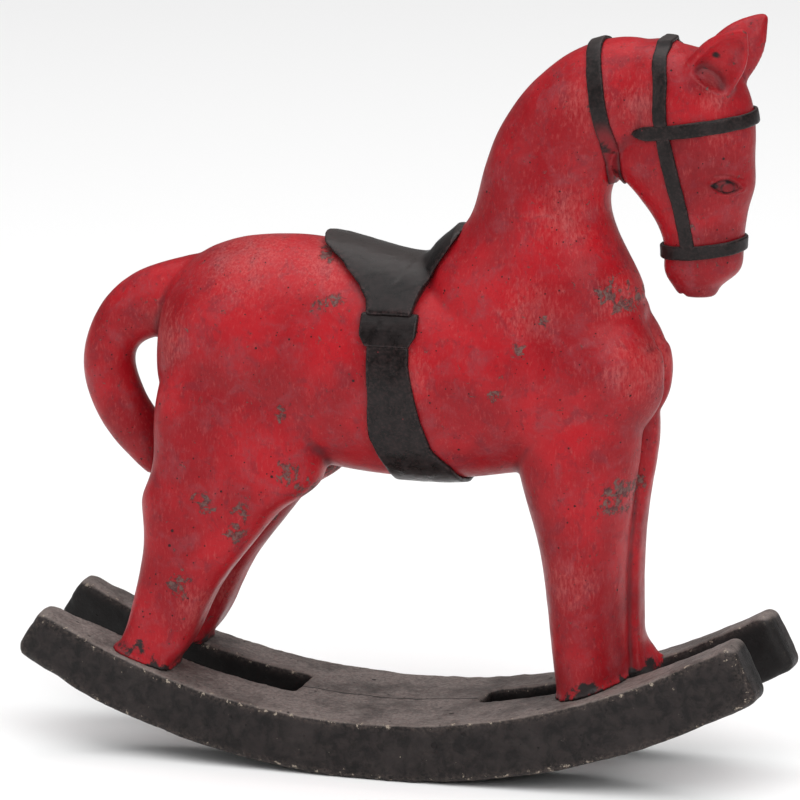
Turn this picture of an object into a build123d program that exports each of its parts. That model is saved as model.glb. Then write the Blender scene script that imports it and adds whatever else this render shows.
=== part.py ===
"""Decorative rocking horse: a cast, painted horse in two hollow half shells on a pair of rocker castings.

Lengths are in millimetres: +X towards the nose, +Y to the horse's left, +Z up. The tables below
measure x from the lowest point of the rocker arc, y from the joint between the halves and z from
the surface that the rockers stand on. The parts are written with x measured from the middle of
the overall box instead, ORIGIN_X further forward.
"""

import math
import os

from build123d import *

ORIGIN_X = 3.0

# Rockers: the underside and the upper surface are arcs with their centres at the same height.
ARC_R = 362.0  # underside
TOP_ARC_X, TOP_ARC_R = -5.0, 335.2  # upper surface
REAR_TIP, FRONT_TIP = -176.0, 182.0
TIP_ROUNDING = 4.5
HALF_WIDTH = 47.0  # of the pair, at the middle
REAR_HALF_WIDTH, FRONT_HALF_WIDTH = 38.5, 40.0  # of the pair, at the tips

# The deck closes the gap between the rockers at the middle; beyond it each end has a slot.
# Distances of the slot's edges from the joint: at the deck, then at the tip.
DECK_REAR, DECK_FRONT = -49.0, 39.0
SLOT_STRAIGHT = 60.0  # length over which a slot keeps its width
RIGHT_REAR_SLOT, RIGHT_FRONT_SLOT = (9.5, 24.0), (5.0, 20.0)
LEFT_REAR_SLOT, LEFT_FRONT_SLOT = (20.0, 25.0), (19.0, 22.0)

WALL = 8.0  # of the hollow body shells
HOLLOW_TORSO, HOLLOW_NECK = slice(3, -3), slice(0, 4)  # the sections that the cavity runs through
SEAT = 4.5  # thickness of the saddle over the back
GIRTH = 1.8  # thickness of the girth strap
KEEPER = 2.6  # thickness of the pads where the girth meets the saddle flaps
STRAP = 1.3  # thickness of the bridle straps

# Barrel, rump to chest: x, z of the middle, half height, half width
TORSO = [
    (-114, 185, 9, 9),
    (-112, 186, 22, 18),
    (-106, 188, 35, 28),
    (-94, 190.5, 43.5, 34.5),
    (-70, 193, 49, 38.5),
    (-35, 190, 52.5, 40),
    (0, 185, 50.5, 39),
    (30, 184.5, 49.5, 38),
    (60, 188, 48, 37.5),
    (88, 190, 44, 35),
    (106, 190, 37, 31),
    (117, 190, 27, 24),
    (124, 190, 17, 16),
    (127.5, 190, 6, 6),
]

# Neck, withers to poll: x, z of the middle, half depth, half width, direction from +X in degrees
NECK = [
    (62, 205, 48, 34, 80),
    (74, 235, 48, 31, 68),
    (72, 259, 36.5, 26.5, 71),
    (71.5, 277.5, 31, 23.5, 66),
    (78, 295, 29, 21.5, 54),
    (91, 311, 28, 21, 30),
    (106, 318, 28, 20.5, 0),
    (123, 317, 23, 16, -5),
]

# Head, poll to muzzle: x, z of the middle, half depth, half width
HEAD = [
    (126, 345.8, 6, 6),
    (124.5, 342.5, 16, 12.5),
    (130, 335, 27, 18.5),
    (135, 322, 30.5, 21.5),
    (137.3, 304, 31, 22),
    (134, 290, 34, 21.5),
    (137.5, 280.5, 30.5, 20.5),
    (140.3, 272, 25.5, 19),
    (143.8, 256, 19.3, 16),
    (144.3, 247, 18.5, 15.2),
    (143.5, 241, 18, 14.5),
    (141.7, 235.5, 14.2, 12),
    (141, 231, 10.3, 9),
    (141.5, 228, 4, 4),
]

# Forelegs, top to foot: z, x of the middle, half depth, gap to the joint, width. The section is an
# ellipse cut off flat on the inner side, deepest at FORELEG_FULLNESS of its width.
FORELEG_FULLNESS = 0.2
LEFT_FORELEG_AHEAD = 4.0
FORELEG = [
    (186, 92, 24, 0.3, 26.7),
    (166, 88.5, 29, 0.3, 31.7),
    (148, 87.4, 28.7, 0.3, 32.7),
    (122, 88.8, 23.1, 0.3, 32.2),
    (95, 90.9, 18.9, 0.3, 31.7),
    (66, 92.7, 17.1, 0.3, 31.7),
    (42, 94.7, 16.6, 0.3, 31.7),
    (22, 96, 16.6, 0.3, 31.7),
]

# Hind legs, top to foot: z, x of the middle, half depth, gap to the joint, width, corner radius.
# The section is a rounded rectangle that gets squarer towards the foot.
HIND_LEG = [
    (190, -72, 33, 3, 31, 14),
    (178, -72.5, 36, 3, 33, 15.5),
    (165, -73, 38.3, 3, 34, 16),
    (152, -72.2, 39.8, 3.5, 34, 16),
    (140, -71.4, 40.8, 4, 34, 16),
    (121, -82.5, 34.7, 6, 32, 15),
    (104, -89.3, 26.6, 8, 30, 13.5),
    (80, -99.5, 19.1, 10, 28, 10),
    (61, -106.3, 16.7, 11, 27, 8),
    (46.5, -114.2, 15.4, 12, 26, 6),
    (26, -124.5, 15.4, 12, 26, 6),
]

# Tail, root to tip: x, z of the middle, half depth, half width, direction from +X in degrees
TAIL = [
    (-90, 213, 16, 12, 184),
    (-106, 212, 17, 13, 190),
    (-122, 206, 15.8, 12.5, 207),
    (-134, 197, 13.2, 12, 230),
    (-141, 180, 12, 12, 268),
    (-138.5, 166, 12.4, 12, 289),
    (-133.2, 155, 12.1, 12, 301),
    (-126.5, 146, 11.5, 11.5, 307),
    (-120.5, 137, 9.5, 9.5, 300),
    (-116.5, 128, 5.5, 6, 295),
]
TAIL_WIRE_PATH = [(-97, 212.5), (-121, 206), (-138, 194), (-141, 176), (-135, 158), (-123, 141)]
TAIL_WIRE_BEND = 8.0
TAIL_WIRE_R = 1.25

# Ears, base to tip: x, z of the middle, half depth, half width, offset from the joint
EAR_LEAN = 57.0
EAR = [
    (147, 330, 13, 8, 11.5),
    (154, 338.5, 12.5, 7.5, 13.5),
    (160.5, 347, 10, 6, 15.5),
    (165, 353, 5.5, 3.8, 17),
    (168, 357, 1.6, 1.4, 18),
]
SCOOP_AHEAD, SCOOP_OUTBOARD, SCOOP_SCALE = 2.5, 4.5, 0.78  # the hollow of the ear

# Side outlines, x and z: saddle flap, keeper pad, girth and bridle straps
SADDLE_LINE = [
    *[(-38, 262), (-38.5, 249), (-33, 244), (-22, 237.5), (-12, 229), (-7, 223), (-6, 217)],
    *[(14.5, 217), (17, 228), (20, 240), (24, 250), (29.5, 258), (29.5, 275)],
]
KEEPER_LINE = [(-8.5, 217), (-8.5, 208), (-5.5, 203), (14.5, 203), (17.5, 208), (17.5, 217)]
GIRTH_LINE = [
    *[(-4.5, 203), (-3.9, 178), (-4.8, 160), (0, 143), (2, 125)],
    *[(36, 125), (31, 144), (24, 153), (20, 169.5), (15, 193), (14.5, 203)],
]
THROAT_STRAP_LINE = [(92, 352), (97.5, 330), (100.5, 314), (103.5, 301), (105, 290), (104.5, 272)]
HEADSTALL_LINE = [(127, 352), (127, 342), (128.8, 331), (129, 313.5)]
HEADSTALL_LINE += [(131, 303), (134.3, 289), (138.3, 272), (141, 252)]
BROWBAND_LINE = [(115, 304.8), (130, 307.3), (150, 310.5), (176, 314)]
NOSEBAND_LINE = [(118, 247.8), (168, 254.4)]
THROAT_STRAP_WIDTH, HEADSTALL_WIDTH, BROWBAND_WIDTH, NOSEBAND_WIDTH = 6.8, 6.2, 6.0, 5.8

# Reinforcement: the two ends of each rod, for the right side
ROD_R = 2.0
FORELEG_ROD = ((96.5, -24, 18), (88, -18, 166))
HIND_LEG_ROD = ((-123, -27, 33), (-75, -19, 156))
NECK_ROD = ((66, 0, 252), (120, 0, 324))
PEG_R, PEG_LENGTH = 1.6, 9.0
PEG_PLACES = [(-64, 237.5), (38, 139.5), (121, 186), (136, 292)]
CROSS_PIN_R, CROSS_PIN_LENGTH = 2.5, 44.0
CROSS_PIN_PLACES = [(-30, 14.5), (22, 14.5)]

REACH = 400.0  # larger than the whole object


def oval(x, z, depth, width, direction, y=0.0):
    """An oval section across a limb that runs at that many degrees from +X."""
    angle = math.radians(direction)
    across = Plane(origin=(x, y, z), x_dir=(0, 1, 0), z_dir=(math.cos(angle), 0, math.sin(angle)))
    return across * Ellipse(width, depth)


def torso(grow=0.0, stations=TORSO):
    return loft([oval(x, z, h + grow, w + grow, 0) for x, z, h, w in stations])


def neck(grow=0.0, stations=NECK):
    return loft([oval(x, z, d + grow, w + grow, a) for x, z, d, w, a in stations])


def head(grow=0.0):
    lift = {0: grow, len(HEAD) - 1: -grow}
    sections = []
    for i, (x, z, depth, width) in enumerate(HEAD):
        sections.append(oval(x, z + lift.get(i, 0), depth + grow, width + grow, -90))
    return loft(sections)


def half_space(sign):
    """Everything on the left of the joint, or on the right if the sign is negative."""
    return Pos(0, sign * REACH / 2, 0) * Box(2 * REACH, REACH, 2 * REACH)


def side_prism(points):
    """An outline drawn in side view, pushed right across the object."""
    face = make_face(Polyline([(x, -REACH / 2, z) for x, z in points], close=True))
    return extrude(face, amount=REACH, dir=(0, 1, 0))


def band(points, width):
    """A strap's course in side view, as a band of that width pushed right across the object."""
    course = [Vector(x, z) for x, z in points]
    last = len(course) - 1
    front, rear = [], []
    for i, here in enumerate(course):
        along = (course[min(i + 1, last)] - course[max(i - 1, 0)]).normalized()
        offset = Vector(along.Y, -along.X) * (width / 2)
        front.append((here.X + offset.X, here.Y + offset.Y))
        rear.append((here.X - offset.X, here.Y - offset.Y))
    return side_prism(front + rear[::-1])


def main_solid(shape):
    """The shape without any sliver that a cut leaves beside it."""
    return max(shape.solids(), key=lambda solid: solid.volume)


def mirrored(shape):
    return shape.mirror(Plane.XZ)


def rod(start, end):
    start, end = Vector(*start), Vector(*end)
    across = Plane(origin=start, z_dir=(end - start).normalized())
    return extrude(across * Circle(ROD_R), amount=(end - start).length)


def across_rods(places, radius, length):
    """Pins across the joint at each x and z."""
    return [Pos(x, 0, z) * Rot(90, 0, 0) * Cylinder(radius, length) for x, z in places]


def arc_point(x, centre_x, radius):
    return x, ARC_R - math.sqrt(radius**2 - (x - centre_x) ** 2)


def rocker_section():
    """Both rockers in side view: square-cut tips, rounded at the corners."""
    inner_tips = [TOP_ARC_R * tip / ARC_R for tip in (REAR_TIP, FRONT_TIP)]
    lower = [arc_point(x, 0, ARC_R) for x in (REAR_TIP, 0, FRONT_TIP)]
    upper = [arc_point(x, TOP_ARC_X, TOP_ARC_R) for x in (inner_tips[0], 0, inner_tips[1])]
    outline = [
        ThreePointArc(*lower),
        Line(lower[2], upper[2]),
        ThreePointArc(*upper[::-1]),
        Line(upper[0], lower[0]),
    ]
    section = make_face(outline)
    section = fillet(section.vertices(), TIP_ROUNDING)
    solid = extrude(section, amount=REACH)
    return Pos(0, REACH / 2, 0) * Rot(90, 0, 0) * solid


def rocker(sign, rear_slot, front_slot):
    """A rocker with its half of the deck, bowed outwards in plan."""
    outer = ThreePointArc(
        (REAR_TIP, sign * REAR_HALF_WIDTH),
        (0, sign * HALF_WIDTH),
        (FRONT_TIP, sign * FRONT_HALF_WIDTH),
    )
    inner = Polyline(
        (FRONT_TIP, sign * FRONT_HALF_WIDTH),
        (FRONT_TIP, sign * front_slot[1]),
        (DECK_FRONT + SLOT_STRAIGHT, sign * front_slot[0]),
        (DECK_FRONT, sign * front_slot[0]),
        (DECK_FRONT, 0),
        (DECK_REAR, 0),
        (DECK_REAR, sign * rear_slot[0]),
        (DECK_REAR - SLOT_STRAIGHT, sign * rear_slot[0]),
        (REAR_TIP, sign * rear_slot[1]),
        (REAR_TIP, sign * REAR_HALF_WIDTH),
    )
    plan = extrude(make_face([outer, inner]), amount=REACH, dir=(0, 0, 1))
    return main_solid(rocker_section() & plan)


def standing(sections):
    """A leg lofted through its sections, cut off where it stands on the rockers."""
    above_rockers = Pos(TOP_ARC_X, 0, ARC_R) * Rot(90, 0, 0) * Cylinder(TOP_ARC_R, REACH)
    return loft(sections) & above_rockers


def foreleg(ahead=0.0):
    """The right foreleg, that much further forward."""
    sections = []
    for z, x, depth, gap, width in FORELEG:
        outer = (1 - FORELEG_FULLNESS) * width
        ellipse = Pos(x + ahead, outer - gap - width, z) * Ellipse(depth, outer)
        outside = Pos(x + ahead, -gap - width, z) * Rectangle(4 * depth, 2 * width)
        sections.append((ellipse & outside).face())
    return standing(sections)


def hind_leg():
    """The right hind leg."""
    sections = []
    for z, x, depth, gap, width, corner in HIND_LEG:
        sections.append(Pos(x, -gap - width / 2, z) * RectangleRounded(2 * depth, width, corner))
    return standing(sections)


def ear():
    """The right ear, hollowed on its outer front."""
    cone = loft([oval(x, z, d, w, EAR_LEAN, -y) for x, z, d, w, y in EAR])
    hollow = []
    for x, z, d, w, y in EAR:
        ahead, outboard = x + SCOOP_AHEAD, -y - SCOOP_OUTBOARD
        hollow.append(oval(ahead, z, d * SCOOP_SCALE, w * SCOOP_SCALE, EAR_LEAN, outboard))
    return main_solid(cone - loft(hollow) - head())


def tail_wire():
    path = FilletPolyline([(x, 0, z) for x, z in TAIL_WIRE_PATH], radius=TAIL_WIRE_BEND)
    return sweep(Plane(origin=path @ 0, z_dir=path % 0) * Circle(TAIL_WIRE_R), path=path)


def build():
    body = torso() + neck() + head()
    cavity = torso(-WALL, TORSO[HOLLOW_TORSO]) + neck(-WALL, NECK[HOLLOW_NECK])
    shell = body - cavity
    right_rocker = rocker(-1, RIGHT_REAR_SLOT, RIGHT_FRONT_SLOT)
    left_rocker = rocker(1, LEFT_REAR_SLOT, LEFT_FRONT_SLOT)

    cross_pins = across_rods(CROSS_PIN_PLACES, CROSS_PIN_R, CROSS_PIN_LENGTH)
    pegs = across_rods(PEG_PLACES, PEG_R, PEG_LENGTH)
    right_rods = [rod(*FORELEG_ROD), rod(*HIND_LEG_ROD)]
    left_rods = [mirrored(one) for one in right_rods]
    neck_rod = rod(*NECK_ROD)
    wire = tail_wire()

    right_foreleg = main_solid(foreleg() - body - right_rods[0])
    left_foreleg = main_solid(mirrored(foreleg(LEFT_FORELEG_AHEAD)) - body - left_rods[0])
    right_hind_leg = main_solid(hind_leg() - body - right_rods[1])
    left_hind_leg = mirrored(right_hind_leg)
    tail = loft([oval(x, z, d, w, a) for x, z, d, w, a in TAIL])
    tail = main_solid(tail - body - right_hind_leg - left_hind_leg - wire)

    for inside in [*pegs, *right_rods, *left_rods, neck_rod, wire]:
        shell -= inside
    for inside in [*cross_pins, *right_rods]:
        right_rocker -= inside
    for inside in [*cross_pins, *left_rods]:
        left_rocker -= inside

    girth = torso(GIRTH) & side_prism(GIRTH_LINE)
    keepers = (torso(KEEPER) & side_prism(KEEPER_LINE)) - body
    saddle = (torso(SEAT) + neck(SEAT, NECK[HOLLOW_NECK])) & side_prism(SADDLE_LINE)
    harness = head(STRAP) + neck(STRAP)
    browband = head(STRAP) & band(BROWBAND_LINE, BROWBAND_WIDTH)
    noseband = head(STRAP) & band(NOSEBAND_LINE, NOSEBAND_WIDTH)
    headstall = (harness & band(HEADSTALL_LINE, HEADSTALL_WIDTH)) - body - browband - noseband
    crown, *cheeks = sorted(headstall.solids(), key=lambda solid: -solid.volume)[:3]
    cheeks.sort(key=lambda solid: solid.center().Y)
    throat_strap = (harness & band(THROAT_STRAP_LINE, THROAT_STRAP_WIDTH)) - body
    right_ear = ear()

    return {
        "right_rocker": main_solid(right_rocker),
        "left_rocker": main_solid(left_rocker),
        "rocker_cross_pins": Compound(cross_pins),
        "right_body_shell": main_solid(shell & half_space(-1)),
        "left_body_shell": main_solid(shell & half_space(1)),
        "shell_locating_pegs": Compound(pegs),
        "right_foreleg": right_foreleg,
        "left_foreleg": left_foreleg,
        "right_hind_leg": right_hind_leg,
        "left_hind_leg": left_hind_leg,
        "right_foreleg_rod": right_rods[0],
        "right_hind_leg_rod": right_rods[1],
        "left_foreleg_rod": left_rods[0],
        "left_hind_leg_rod": left_rods[1],
        "neck_rod": neck_rod,
        "tail": tail,
        "tail_wire": wire,
        "right_ear": right_ear,
        "left_ear": mirrored(right_ear),
        "saddle": main_solid(saddle - body),
        "girth": main_solid(girth - body),
        "right_girth_keeper": main_solid(keepers & half_space(-1)),
        "left_girth_keeper": main_solid(keepers & half_space(1)),
        "crown_strap": crown,
        "right_cheek_strap": cheeks[0],
        "left_cheek_strap": cheeks[1],
        "browband": main_solid(browband - body),
        "noseband": main_solid(noseband - body),
        "throat_strap": main_solid(throat_strap),
    }


os.makedirs("parts", exist_ok=True)
for name, shape in build().items():
    export_step(shape.moved(Location((-ORIGIN_X, 0, 0))), f"parts/{name}.step")
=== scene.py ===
"""Looks of the cast rocking horse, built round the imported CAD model.

The red casting is sculpted as one distance field from the CAD pieces, so that legs, tail and ears
flow into the body, and is then cut back into the pieces of the assembly with flush seams. Lengths
inside the script are millimetres in the row frame until a mesh is written, which is in metres.
"""
import math

import bmesh
import bpy
import numpy as np
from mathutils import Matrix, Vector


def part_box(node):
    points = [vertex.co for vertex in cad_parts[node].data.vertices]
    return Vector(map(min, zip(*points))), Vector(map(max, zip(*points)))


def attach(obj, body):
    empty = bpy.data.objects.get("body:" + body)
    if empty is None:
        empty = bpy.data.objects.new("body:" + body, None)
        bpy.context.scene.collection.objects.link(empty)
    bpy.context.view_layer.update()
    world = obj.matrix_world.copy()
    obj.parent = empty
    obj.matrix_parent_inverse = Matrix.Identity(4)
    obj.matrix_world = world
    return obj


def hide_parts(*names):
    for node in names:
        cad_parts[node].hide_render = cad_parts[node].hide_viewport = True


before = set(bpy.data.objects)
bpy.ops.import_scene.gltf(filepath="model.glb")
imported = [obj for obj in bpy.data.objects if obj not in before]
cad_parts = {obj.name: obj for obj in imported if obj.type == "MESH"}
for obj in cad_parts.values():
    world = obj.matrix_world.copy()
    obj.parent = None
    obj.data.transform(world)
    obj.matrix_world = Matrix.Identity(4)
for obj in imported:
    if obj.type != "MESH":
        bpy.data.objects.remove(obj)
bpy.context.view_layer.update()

import openvdb as vdb
from mathutils import Vector

MM = 0.001


def box_mm(node):
    """Lowest and highest corner of a CAD node in millimetres."""
    low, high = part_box(node)
    return np.array(low) / MM, np.array(high) / MM


# ---------------------------------------------------------------- distance fields


class Field:
    """A dense signed distance field in millimetres, negative inside."""

    def __init__(self, low, high, voxel):
        self.voxel = voxel
        self.first = np.floor(np.asarray(low) / voxel).astype(int)
        last = np.ceil(np.asarray(high) / voxel).astype(int)
        self.shape = tuple(last - self.first + 1)
        self.values = None

    def transform(self):
        return vdb.createLinearTransform(voxelSize=self.voxel)

    def set_mesh(self, points, triangles, band):
        """Measures the distance to a closed mesh, up to band millimetres."""
        width = band / self.voxel
        grid = vdb.FloatGrid.createLevelSetFromPolygons(
            points.astype(np.float32),
            triangles.astype(np.uint32),
            transform=self.transform(),
            halfWidth=width,
        )
        self.values = np.empty(self.shape, np.float32)
        grid.copyToArray(self.values, ijk=tuple(int(i) for i in self.first))
        return self

    def like(self, values):
        """Another field on the same grid."""
        other = Field.__new__(Field)
        other.voxel, other.first, other.shape = self.voxel, self.first, self.shape
        other.values = values
        return other

    def axes(self):
        """The three coordinate arrays, ready to broadcast."""
        x, y, z = (
            (self.first[k] + np.arange(self.shape[k])) * self.voxel for k in range(3)
        )
        x, y, z = (a.astype(np.float32) for a in (x, y, z))
        return x[:, None, None], y[None, :, None], z[None, None, :]

    def polygons(self, level=0.0):
        """The surface at a level as points and quads."""
        grid = vdb.FloatGrid(float(self.values.max()))
        grid.transform = self.transform()
        grid.copyFromArray(self.values, ijk=tuple(int(i) for i in self.first))
        points, quads = grid.convertToQuads(level)
        return points.astype(np.float64), quads.astype(np.int64)

    def remeasured(self, level, band):
        """The distance field of this one's surface at a level."""
        points, quads = self.polygons(level)
        triangles = np.concatenate([quads[:, [0, 1, 2]], quads[:, [0, 2, 3]]])
        triangles = outermost(points, triangles)
        return self.like(None).set_mesh(points, triangles, band)

    def closed(self, radius, band=0.0):
        """Hollow edges filled to that radius, and solids that touch made one."""
        grown = self.remeasured(radius, max(band, radius + 3 * self.voxel))
        return self.like(grown.values + radius)

    def opened(self, radius, band):
        """Sharp edges worn to that radius."""
        shrunk = self.remeasured(-radius, band + radius)
        return self.like(shrunk.values - radius)

    def blurred(self, passes):
        """Softened by a small binomial filter."""
        v = self.values
        for _ in range(passes):
            for axis in range(3):
                padded = np.pad(v, [(1, 1) if a == axis else (0, 0) for a in range(3)], "edge")
                take = [slice(None)] * 3
                low, mid, high = list(take), list(take), list(take)
                low[axis], mid[axis], high[axis] = slice(0, -2), slice(1, -1), slice(2, None)
                v = 0.25 * padded[tuple(low)] + 0.5 * padded[tuple(mid)] + 0.25 * padded[tuple(high)]
        return self.like(v.astype(np.float32))

    def sample(self, points):
        """Values at points, by trilinear interpolation."""
        q = points / self.voxel - self.first
        q = np.clip(q, 0, np.array(self.shape) - 1.001)
        i = np.floor(q).astype(int)
        f = q - i
        total = np.zeros(len(points))
        for corner in range(8):
            d = np.array([corner & 1, corner >> 1 & 1, corner >> 2 & 1])
            weight = np.prod(np.where(d, f, 1 - f), axis=1)
            j = i + d
            total += weight * self.values[j[:, 0], j[:, 1], j[:, 2]]
        return total

    def normals(self, points):
        """Unit gradients at points."""
        step = self.voxel
        columns = []
        for axis in range(3):
            d = np.zeros(3)
            d[axis] = step
            columns.append(self.sample(points + d) - self.sample(points - d))
        g = np.stack(columns, axis=1)
        return g / np.maximum(np.linalg.norm(g, axis=1, keepdims=True), 1e-9)


def outermost(points, triangles):
    """Only the triangles of the largest connected surface, so that sealed hollows are dropped."""
    label = np.arange(len(points))
    while True:
        lowest = label[triangles].min(axis=1)
        new = label.copy()
        for k in range(3):
            np.minimum.at(new, triangles[:, k], lowest)
        new = new[new]
        if np.array_equal(new, label):
            break
        label = new
    names, counts = np.unique(label[triangles[:, 0]], return_counts=True)
    return triangles[label[triangles[:, 0]] == names[counts.argmax()]]


def node_triangles(*names):
    """Points in millimetres and triangles of several CAD nodes together."""
    all_points, all_triangles, offset = [], [], 0
    for name in names:
        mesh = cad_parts[name].data
        mesh.calc_loop_triangles()
        points = np.empty(len(mesh.vertices) * 3)
        mesh.vertices.foreach_get("co", points)
        corners = np.empty(len(mesh.loop_triangles) * 3, int)
        mesh.loop_triangles.foreach_get("vertices", corners)
        all_points.append(points.reshape(-1, 3) / MM)
        all_triangles.append(corners.reshape(-1, 3) + offset)
        offset += len(mesh.vertices)
    return np.concatenate(all_points), np.concatenate(all_triangles)


def union_of(field, names, band):
    """The union of the CAD nodes' distance fields on one grid."""
    total = None
    for name in names:
        one = field.like(None).set_mesh(*node_triangles(name), band)
        total = one.values if total is None else np.minimum(total, one.values)
    return field.like(total)


def smooth_min(a, b, k):
    """The smaller of two distances, blended over k millimetres."""
    h = np.clip(0.5 + 0.5 * (b - a) / k, 0, 1)
    return b + (a - b) * h - k * h * (1 - h)


def smooth_max(a, b, k):
    """The larger of two distances, blended over k millimetres."""
    return -smooth_min(-a, -b, k)


def smoothstep(low, high, value):
    """0 below low, 1 above high, smooth between."""
    t = np.clip((value - low) / (high - low), 0, 1)
    return t * t * (3 - 2 * t)


def value_noise(x, y, z, cell, seed):
    """Seeded smooth noise between -1 and 1 with features of about that many millimetres."""
    table = np.random.default_rng(seed).uniform(-1, 1, 8192).astype(np.float32)
    parts = []
    for a in (x, y, z):
        q = a / cell + 1000.0
        i = np.floor(q).astype(np.int64)
        f = (q - i).astype(np.float32)
        parts.append((i, f * f * (3 - 2 * f)))
    total = 0.0
    for corner in range(8):
        weight, key = 1.0, 0
        for (i, f), bit, prime in zip(parts, (1, 2, 4), (73856093, 19349663, 83492791)):
            up = 1 if corner & bit else 0
            weight = weight * (f if up else 1 - f)
            key = key ^ ((i + up) * prime)
        total = total + weight * table[key & 8191]
    return total


def roughen(field, layers):
    """Adds noise to the surface, in layers of (size in millimetres, height, seed)."""
    near = np.nonzero(np.abs(field.values) < 3 * field.voxel)
    x, y, z = ((i + first) * field.voxel for i, first in zip(near, field.first))
    for cell, height, seed in layers:
        field.values[near] += (height * value_noise(x, y, z, cell, seed)).astype(np.float32)


def swell(field, centre, radii, height):
    """Raises a soft mound on both sides of the horse, centred at that x and z."""
    x, y, z = field.axes()
    mound = np.exp(-(((x - centre[0]) / radii[0]) ** 2 + ((z - centre[1]) / radii[1]) ** 2))
    field.values = (field.values - height * mound * smoothstep(4, 9, np.abs(y))).astype(np.float32)


def groove(field, path, width, depth):
    """Presses a furrow along a path in the side view, on both sides of the horse."""
    x, y, z = field.axes()
    nearest = None
    for (x0, z0), (x1, z1) in zip(path, path[1:]):
        dx, dz = x1 - x0, z1 - z0
        t = np.clip(((x - x0) * dx + (z - z0) * dz) / (dx * dx + dz * dz), 0, 1)
        away = np.hypot(x - x0 - t * dx, z - z0 - t * dz)
        nearest = away if nearest is None else np.minimum(nearest, away)
    furrow = depth * np.exp(-((nearest / width) ** 2))
    field.values = (field.values + furrow + 0 * y).astype(np.float32)


def moved_to(field, grid, outside):
    """A field's values on another grid of the same voxel, with a fixed value outside its own."""
    values = np.full(grid.shape, outside, np.float32)
    low = np.maximum(field.first, grid.first)
    high = np.minimum(field.first + field.shape, grid.first + grid.shape)
    take = tuple(slice(a, b) for a, b in zip(low - field.first, high - field.first))
    put = tuple(slice(a, b) for a, b in zip(low - grid.first, high - grid.first))
    values[put] = field.values[take]
    return values


def ellipsoid(field, centre, radii, tilt=0.0):
    """Roughly the distance to an ellipsoid, its long axes tilted in the side view."""
    x, y, z = field.axes()
    cx, cy, cz = centre
    c, s = math.cos(math.radians(tilt)), math.sin(math.radians(tilt))
    u = c * (x - cx) + s * (z - cz)
    w = -s * (x - cx) + c * (z - cz)
    k = np.sqrt((u / radii[0]) ** 2 + ((y - cy) / radii[1]) ** 2 + (w / radii[2]) ** 2)
    return (k - 1) * min(radii)


# ---------------------------------------------------------------- rocker castings

VOXEL = 0.9
DECK_AXIS = (-8.0, 362.0)  # x and z of the line that the deck's top curves round
DECK_RADIUS = 335.2
ROCKERS = ["right_rocker", "left_rocker"]
HIDDEN_IN_ROCKERS = (
    "rocker_cross_pins right_foreleg_rod left_foreleg_rod right_hind_leg_rod left_hind_leg_rod"
).split()
TIP_WEAR = 3.6
EDGE_WEAR = 1.1
DECK_BAND = 9.0  # how far above the deck its distance is known
TOUCH_GAP = 1.0  # castings closer than this are joined
TIP_ZONE = (0.40, 0.47)  # shares of the length over which the wear of the tips sets in
BASE_GRAIN = ((30, 0.4, 21), (12, 0.25, 23), (5, 0.18, 25), (2.6, 0.12, 27))
rail_boxes = [box_mm(n) for n in ROCKERS]
base_low = np.min([b[0] for b in rail_boxes], axis=0)
base_high = np.max([b[1] for b in rail_boxes], axis=0)
base_grid = Field(base_low - 8, base_high + (8, 8, 14), VOXEL)
base_raw = union_of(base_grid, ROCKERS, TIP_WEAR + 3 * VOXEL)
bx, by, bz = base_grid.axes()
rods = union_of(base_grid, HIDDEN_IN_ROCKERS, 4 * VOXEL).values
deck_dist = np.sqrt((bx - DECK_AXIS[0]) ** 2 + (bz - DECK_AXIS[1]) ** 2)
rods = np.maximum(rods, DECK_RADIUS - deck_dist + 0 * by + TOUCH_GAP)
base_raw.values = np.minimum(base_raw.values, rods).astype(np.float32)
fused = base_raw.closed(TOUCH_GAP, TIP_WEAR + 2 + 3 * VOXEL)
edge_worn = fused.opened(EDGE_WEAR, DECK_BAND)
tip_worn = fused.opened(TIP_WEAR, DECK_BAND)
tip = smoothstep(*TIP_ZONE, np.abs(bx) / (base_high[0] - base_low[0])) + 0 * by + 0 * bz
base = base_grid.like((edge_worn.values * (1 - tip) + tip_worn.values * tip).astype(np.float32))
base = base.blurred(1)
roughen(base, BASE_GRAIN)
base.values = np.maximum(base.values, -(bz + 0 * bx + 0 * by)).astype(np.float32)


# ---------------------------------------------------------------- the red casting

RED_NODES = (
    "right_body_shell left_body_shell right_foreleg left_foreleg right_hind_leg "
    "left_hind_leg tail right_ear left_ear"
).split()
HIDDEN_IN_RED = (
    "right_foreleg_rod left_foreleg_rod right_hind_leg_rod left_hind_leg_rod "
    "shell_locating_pegs tail_wire"
).split()

RED_MARGIN = 12.0
red_boxes = [box_mm(n) for n in RED_NODES]
red_low = np.min([b[0] for b in red_boxes], axis=0) - RED_MARGIN
red_high = np.max([b[1] for b in red_boxes], axis=0) + RED_MARGIN
red_grid = Field(red_low, red_high, VOXEL)

SMALL_FILLET = 2.0
LARGE_FILLET = 9.0
FOOT_FILLET = 5.0
FOOT_CLEARANCE = 0.12
FOOT_SPREAD = 1.9
LEG_TOP_FADE = ((14, 30), (75, 95))  # heights above the belly where the wide fillet comes and goes
CASTING_GRAIN = ((34, 0.35, 3), (13, 0.16, 5), (6, 0.08, 7))
raw = union_of(red_grid, RED_NODES + HIDDEN_IN_RED, LARGE_FILLET + 3 * VOXEL)
small = raw.closed(SMALL_FILLET)
large = raw.closed(LARGE_FILLET)

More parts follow.
